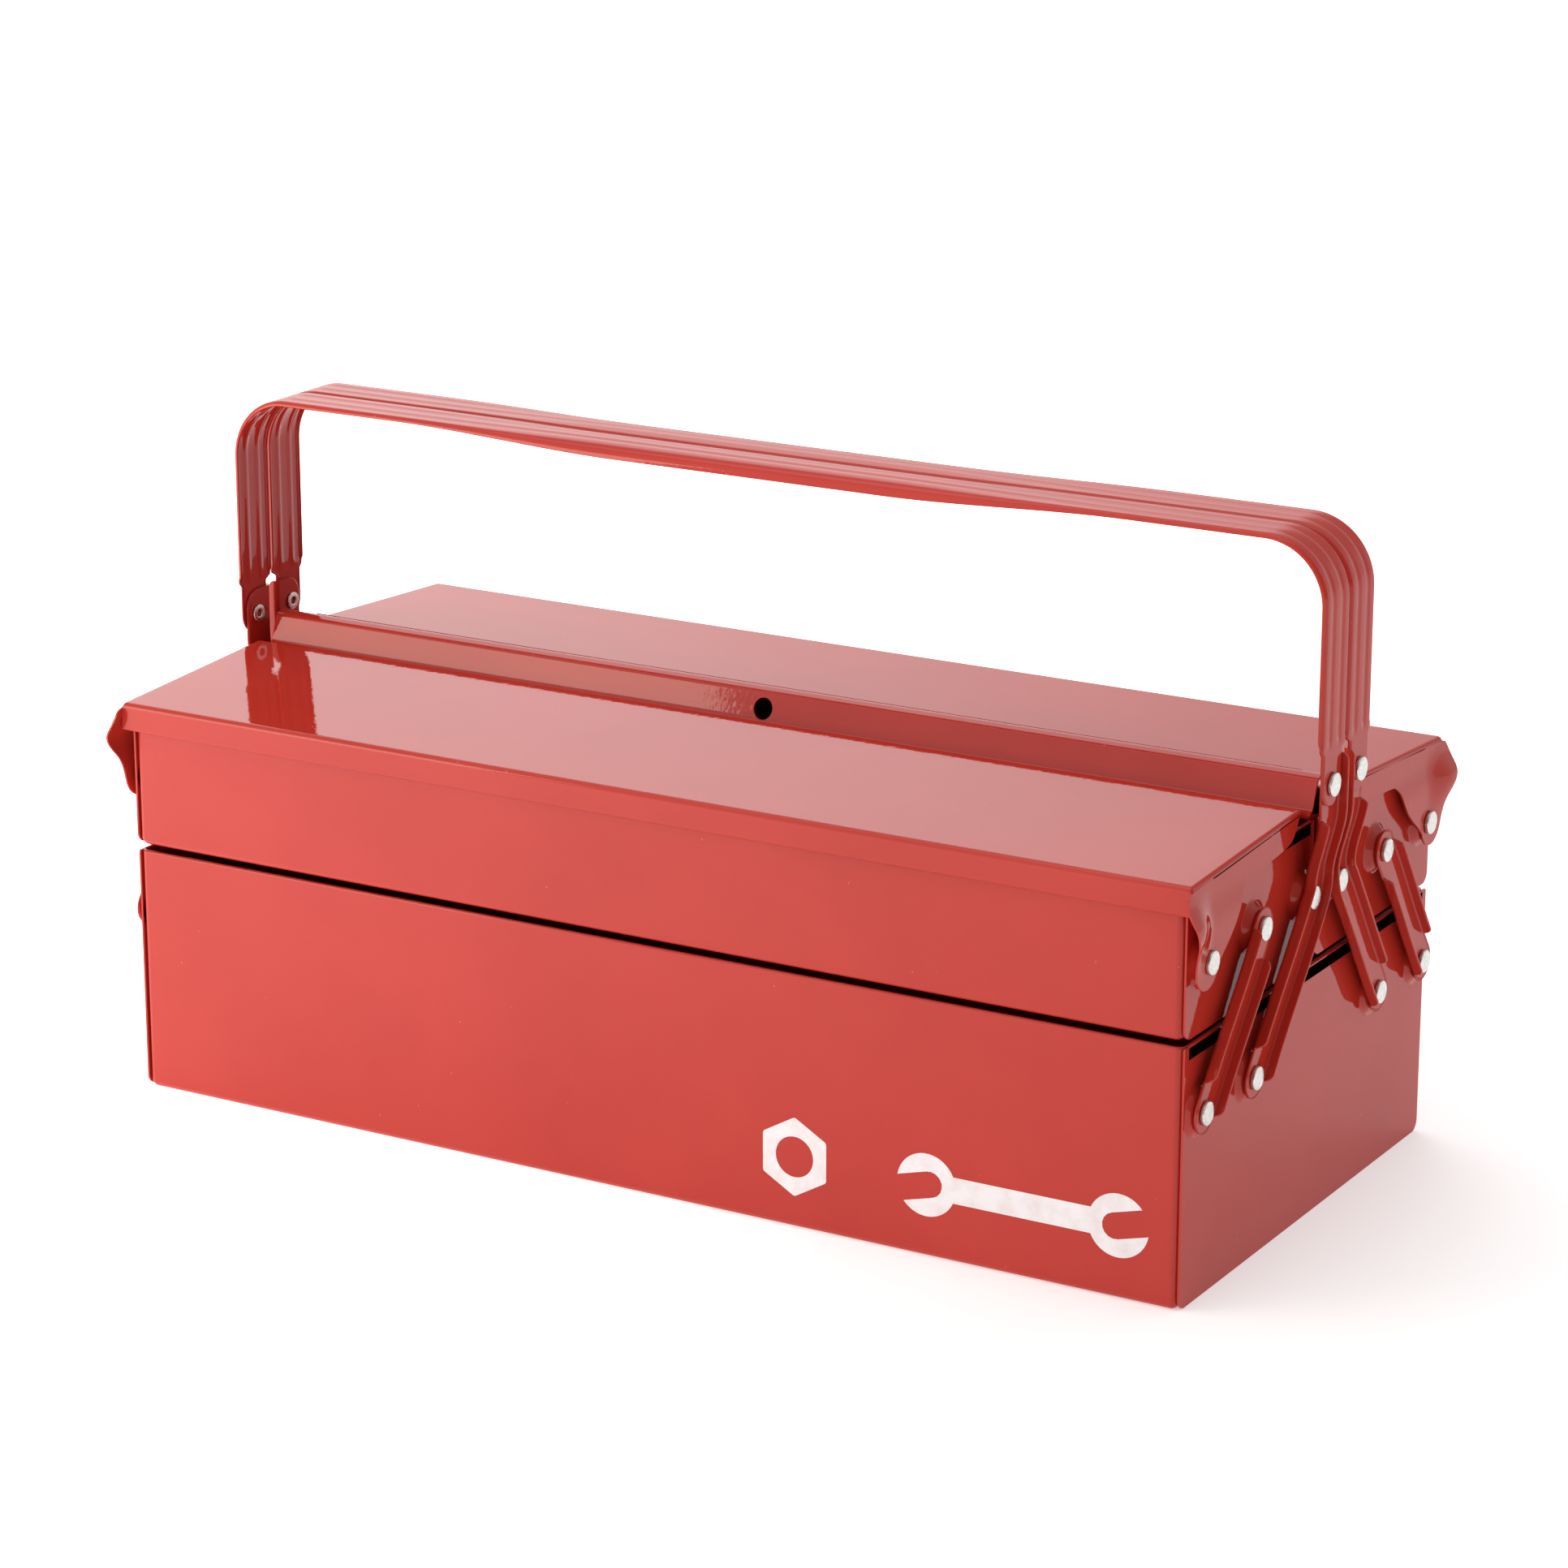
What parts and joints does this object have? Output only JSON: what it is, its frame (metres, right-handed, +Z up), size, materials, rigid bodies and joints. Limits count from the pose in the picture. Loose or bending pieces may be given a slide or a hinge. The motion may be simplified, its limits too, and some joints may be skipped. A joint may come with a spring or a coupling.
{
  "type": "cantilever toolbox",
  "caption": "Two-level steel cantilever toolbox: deep base, two hinged-lid upper trays on parallel arms, centre ridge with padlock hole, and folding strap handles.",
  "frame": {"origin": "middle of the base's underside", "axes": "+X along the length to the right end, -Y out of the front wall, +Z up"},
  "size_m": [0.4974, 0.235, 0.2732],
  "materials": {
    "red_enamel": "gloss enamel over sheet steel, with light orange peel",
    "nickel_rivet": "bright nickel plate"
  },
  "bodies": {
    "base": {"base_shell": "red_enamel", "base_end_left": "red_enamel", "base_end_right": "red_enamel", "rivet_front_short_base_left": "nickel_rivet", "rivet_front_short_base_right": "nickel_rivet", "rivet_front_long_base_left": "nickel_rivet", "rivet_front_long_base_right": "nickel_rivet", "rivet_rear_short_base_left": "nickel_rivet", "rivet_rear_short_base_right": "nickel_rivet", "rivet_rear_long_base_left": "nickel_rivet", "rivet_rear_long_base_right": "nickel_rivet"},
    "front_long_arms": {"front_long_arm_left": "red_enamel", "front_long_arm_right": "red_enamel", "rivet_front_handle_left": "nickel_rivet", "rivet_front_handle_right": "nickel_rivet"},
    "front_short_arms": {"front_short_arm_left": "red_enamel", "front_short_arm_right": "red_enamel"},
    "front_tray": {"front_tray_shell": "red_enamel", "front_tray_end_left": "red_enamel", "front_tray_end_right": "red_enamel", "rivet_front_short_tray_left": "nickel_rivet", "rivet_front_short_tray_right": "nickel_rivet", "rivet_front_long_tray_left": "nickel_rivet", "rivet_front_long_tray_right": "nickel_rivet", "rivet_front_lid_left": "nickel_rivet", "rivet_front_lid_right": "nickel_rivet"},
    "front_lid": {"front_lid": "red_enamel"},
    "front_handle": {"front_handle": "red_enamel"},
    "rear_long_arms": {"rear_long_arm_left": "red_enamel", "rear_long_arm_right": "red_enamel", "rivet_rear_handle_left": "nickel_rivet", "rivet_rear_handle_right": "nickel_rivet"},
    "rear_short_arms": {"rear_short_arm_left": "red_enamel", "rear_short_arm_right": "red_enamel"},
    "rear_tray": {"rear_tray_shell": "red_enamel", "rear_tray_end_left": "red_enamel", "rear_tray_end_right": "red_enamel", "rivet_rear_short_tray_left": "nickel_rivet", "rivet_rear_short_tray_right": "nickel_rivet", "rivet_rear_long_tray_left": "nickel_rivet", "rivet_rear_long_tray_right": "nickel_rivet", "rivet_rear_lid_left": "nickel_rivet", "rivet_rear_lid_right": "nickel_rivet"},
    "rear_lid": {"rear_lid": "red_enamel"},
    "rear_handle": {"rear_handle": "red_enamel"}
  },
  "joints": [
    {"name": "front_swing", "type": "hinge", "parent": "base", "child": "front_long_arms", "pos_m": [0, -0.056, 0.075], "axis": [1, 0, 0], "range_deg": [0, 75]},
    {"name": "front_short_swing", "type": "hinge", "parent": "base", "child": "front_short_arms", "pos_m": [0, -0.0985, 0.075], "axis": [1, 0, 0], "range_deg": [0, 75]},
    {"name": "front_tray_level", "type": "hinge", "parent": "front_long_arms", "child": "front_tray", "pos_m": [0, -0.0125, 0.133], "axis": [1, 0, 0], "range_deg": [-75, 0]},
    {"name": "front_lid_hinge", "type": "hinge", "parent": "front_tray", "child": "front_lid", "pos_m": [0, -0.0983, 0.1325], "axis": [1, 0, 0], "range_deg": [0, 112]},
    {"name": "front_handle_fold", "type": "hinge", "parent": "front_long_arms", "child": "front_handle", "pos_m": [0, -0.012, 0.1778], "axis": [1, 0, 0], "range_deg": [0, 91]},
    {"name": "rear_swing", "type": "hinge", "parent": "base", "child": "rear_long_arms", "pos_m": [0, 0.056, 0.075], "axis": [-1, 0, 0], "range_deg": [0, 75]},
    {"name": "rear_short_swing", "type": "hinge", "parent": "base", "child": "rear_short_arms", "pos_m": [0, 0.0985, 0.075], "axis": [-1, 0, 0], "range_deg": [0, 75]},
    {"name": "rear_tray_level", "type": "hinge", "parent": "rear_long_arms", "child": "rear_tray", "pos_m": [0, 0.0125, 0.133], "axis": [-1, 0, 0], "range_deg": [-75, 0]},
    {"name": "rear_lid_hinge", "type": "hinge", "parent": "rear_tray", "child": "rear_lid", "pos_m": [0, 0.0983, 0.1325], "axis": [-1, 0, 0], "range_deg": [0, 112]},
    {"name": "rear_handle_fold", "type": "hinge", "parent": "rear_long_arms", "child": "rear_handle", "pos_m": [0, 0.012, 0.1778], "axis": [-1, 0, 0], "range_deg": [0, 91]}
  ],
  "couplings": [
    {"joint": "front_short_swing", "follows": "front_swing", "ratio": 1},
    {"joint": "front_tray_level", "follows": "front_swing", "ratio": -1},
    {"joint": "rear_short_swing", "follows": "rear_swing", "ratio": 1},
    {"joint": "rear_tray_level", "follows": "rear_swing", "ratio": -1}
  ]
}
